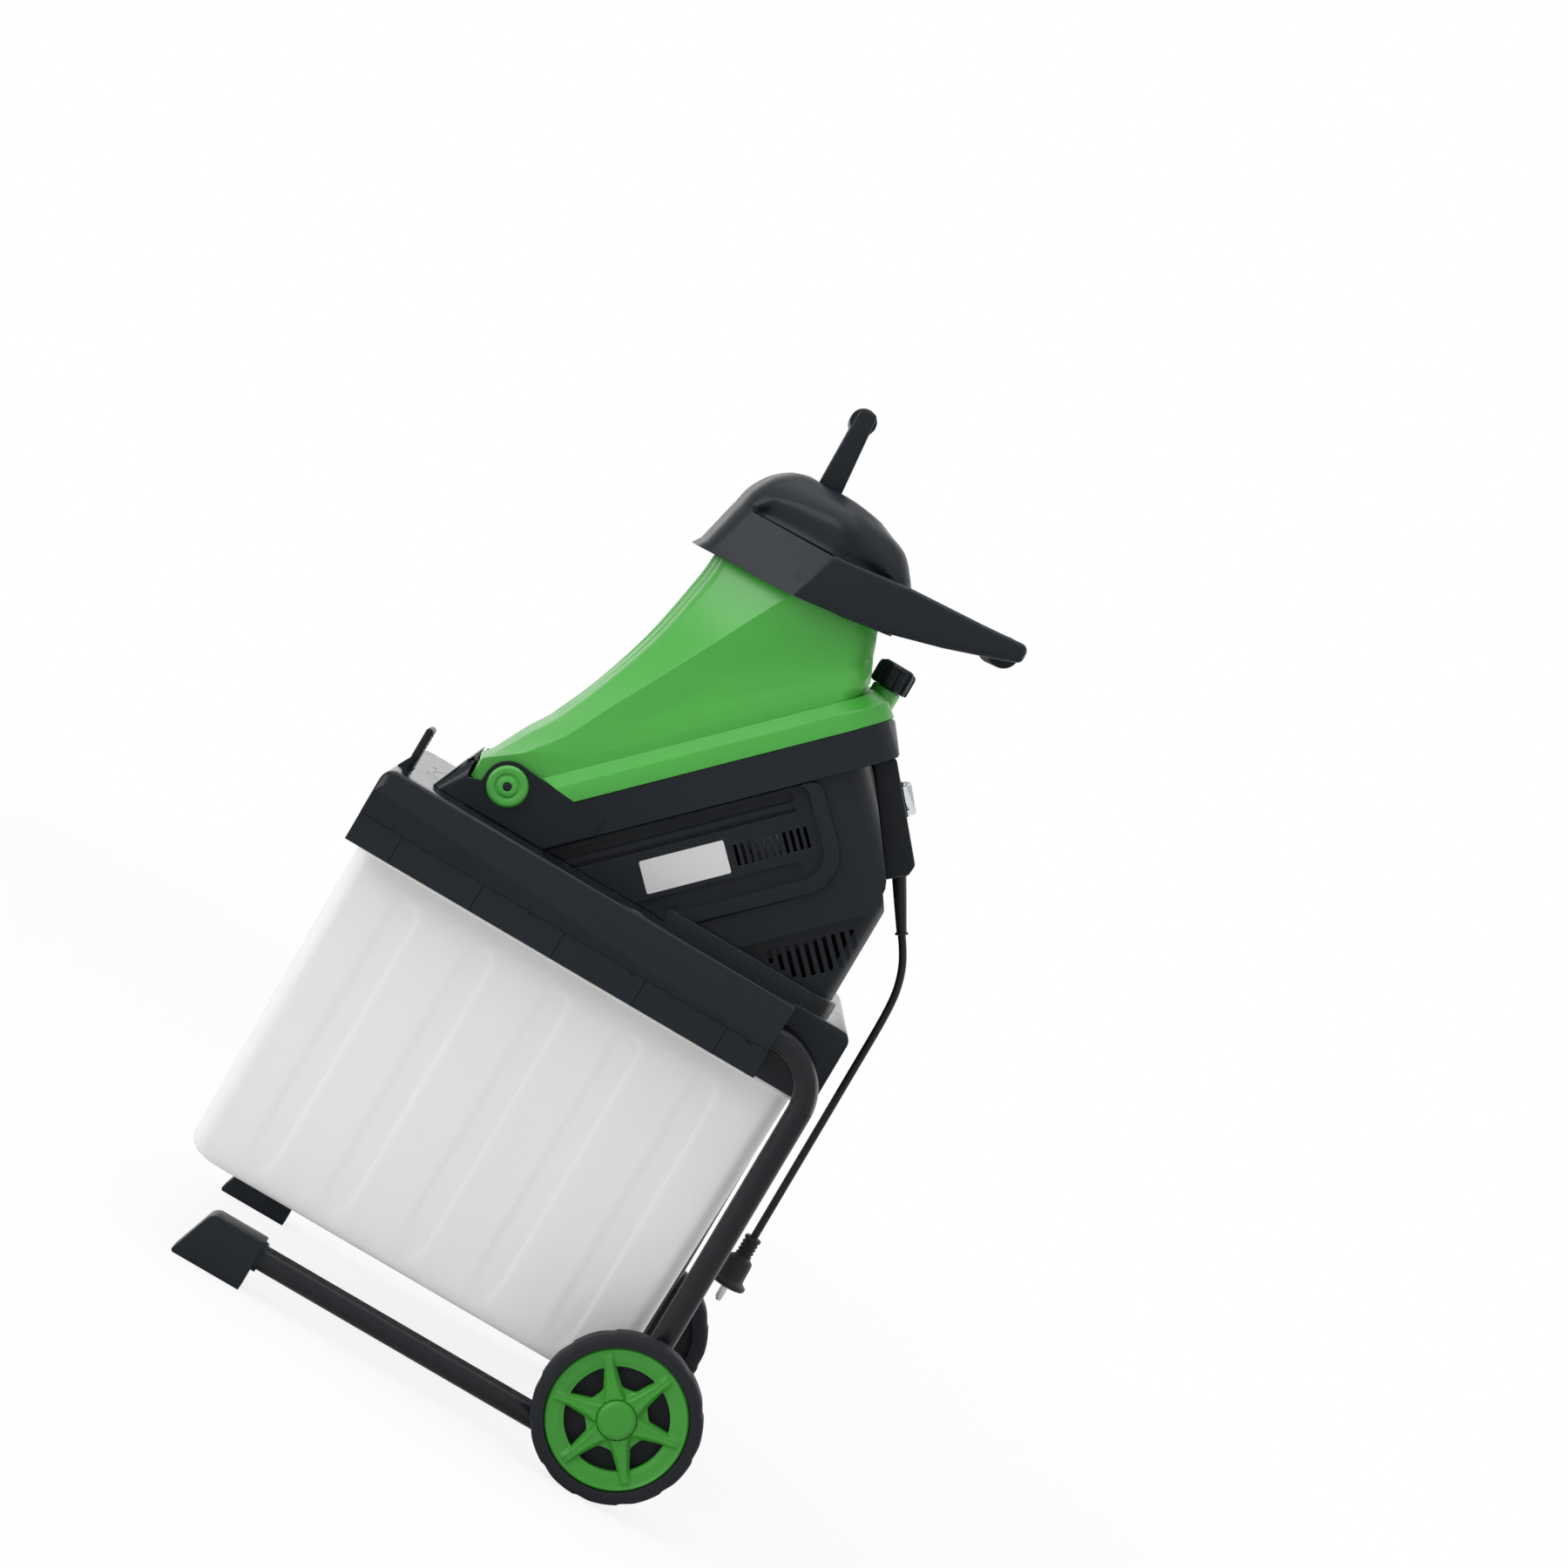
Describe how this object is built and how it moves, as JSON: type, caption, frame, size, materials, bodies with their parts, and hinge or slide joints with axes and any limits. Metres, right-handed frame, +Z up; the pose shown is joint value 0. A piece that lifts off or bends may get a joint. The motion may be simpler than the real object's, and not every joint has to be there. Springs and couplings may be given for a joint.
{
  "type": "electric garden shredder",
  "caption": "Wheeled electric garden shredder: tilted blade housing under a hinged hopper with plunger, on a tube frame with a slide-out collection bin.",
  "frame": {"origin": "on the floor, under the middle of the overall box", "axes": "+X towards the towing handle and wheels, +Y across the machine, +Z up"},
  "size_m": [0.585, 0.473, 1.034],
  "materials": {
    "black_plastic": "satin, fine grain",
    "green_plastic": "semi-gloss",
    "wheel_green": "satin",
    "bin_plastic": "satin, slightly translucent",
    "tube_paint": "satin black paint",
    "rubber": "matt",
    "steel": "brushed",
    "clear_plastic": "clear plastic",
    "copper": "lacquered winding",
    "cord": "satin"
  },
  "bodies": {
    "chassis": {"frame_tube_left": "tube_paint", "frame_tube_right": "tube_paint", "foot_left": "black_plastic", "foot_right": "black_plastic", "axle": "steel", "axle_spacer_left": "steel", "axle_spacer_right": "steel", "axle_nut_left": "steel", "axle_nut_right": "steel", "base_tray": "black_plastic", "bin_runner_left": "black_plastic", "bin_runner_right": "black_plastic", "cutter_housing": "black_plastic", "motor_casing": "black_plastic", "motor_frame": "steel", "motor_stator": "copper", "bearing_upper": "steel", "bearing_lower": "steel", "switch_box": "black_plastic", "switch_bezel": "black_plastic", "safety_switch": "black_plastic", "strain_relief": "cord", "power_cord": "cord", "plug_body": "cord", "plug_pin_1": "steel", "plug_pin_2": "steel"},
    "wheel_left": {"wheel_rim_left": "wheel_green", "tyre_left": "rubber", "hub_cap_left": "wheel_green"},
    "wheel_right": {"wheel_rim_right": "wheel_green", "tyre_right": "rubber", "hub_cap_right": "wheel_green"},
    "hopper": {"hopper": "green_plastic", "hood_handle": "black_plastic", "grip_sleeve": "rubber", "pivot_cap_left": "green_plastic", "pivot_cap_right": "green_plastic", "pivot_screw_left": "steel", "pivot_screw_right": "steel"},
    "plunger": {"plunger": "black_plastic"},
    "knob": {"locking_knob": "black_plastic"},
    "bin": {"collection_bin": "bin_plastic"},
    "bin_lock": {"bin_lock": "black_plastic"},
    "rocker": {"rocker_switch": "black_plastic"},
    "cover": {"switch_cover": "clear_plastic"},
    "rotor": {"rotor_shaft": "steel", "blade_disc": "steel", "blade_1": "steel", "blade_2": "steel", "blade_screw_1": "steel", "blade_screw_2": "steel", "blade_screw_3": "steel", "blade_screw_4": "steel", "disc_bolt": "steel", "cooling_fan": "black_plastic"}
  },
  "joints": [
    {"name": "wheel_left_spin", "type": "hinge", "parent": "chassis", "child": "wheel_left", "pos_m": [0.21, -0.218, 0.0825], "axis": [0, 1, 0], "continuous": true},
    {"name": "wheel_right_spin", "type": "hinge", "parent": "chassis", "child": "wheel_right", "pos_m": [0.21, 0.218, 0.0825], "axis": [0, 1, 0], "continuous": true},
    {"name": "hopper_swing", "type": "hinge", "parent": "chassis", "child": "hopper", "pos_m": [-0.1855, 0, 0.5407], "axis": [0, -1, 0], "range_deg": [0, 55]},
    {"name": "plunger_slide", "type": "slide", "parent": "hopper", "child": "plunger", "axis": [0, 0, 1], "range_m": [0, 0.2]},
    {"name": "knob_turn", "type": "hinge", "parent": "hopper", "child": "knob", "pos_m": [0.0875, 0, 0.8072], "axis": [0, 0, 1], "continuous": true},
    {"name": "bin_slide", "type": "slide", "parent": "chassis", "child": "bin", "axis": [-1, 0, 0], "range_m": [0, 0.45]},
    {"name": "bin_lock_slide", "type": "slide", "parent": "chassis", "child": "bin_lock", "axis": [0, 0, -1], "range_m": [0, 0.024]},
    {"name": "rocker_tilt", "type": "hinge", "parent": "chassis", "child": "rocker", "pos_m": [0.15726, 0, 0.71954], "axis": [0, 1, 0], "range_deg": [0, 14]},
    {"name": "cover_swing", "type": "hinge", "parent": "chassis", "child": "cover", "pos_m": [0.1505, 0, 0.73389], "axis": [0, -1, 0], "range_deg": [0, 95]},
    {"name": "rotor_spin", "type": "hinge", "parent": "chassis", "child": "rotor", "pos_m": [-0.00669, 0, 0.67631], "axis": [-0.7071, 0, 0.7071], "continuous": true}
  ]
}
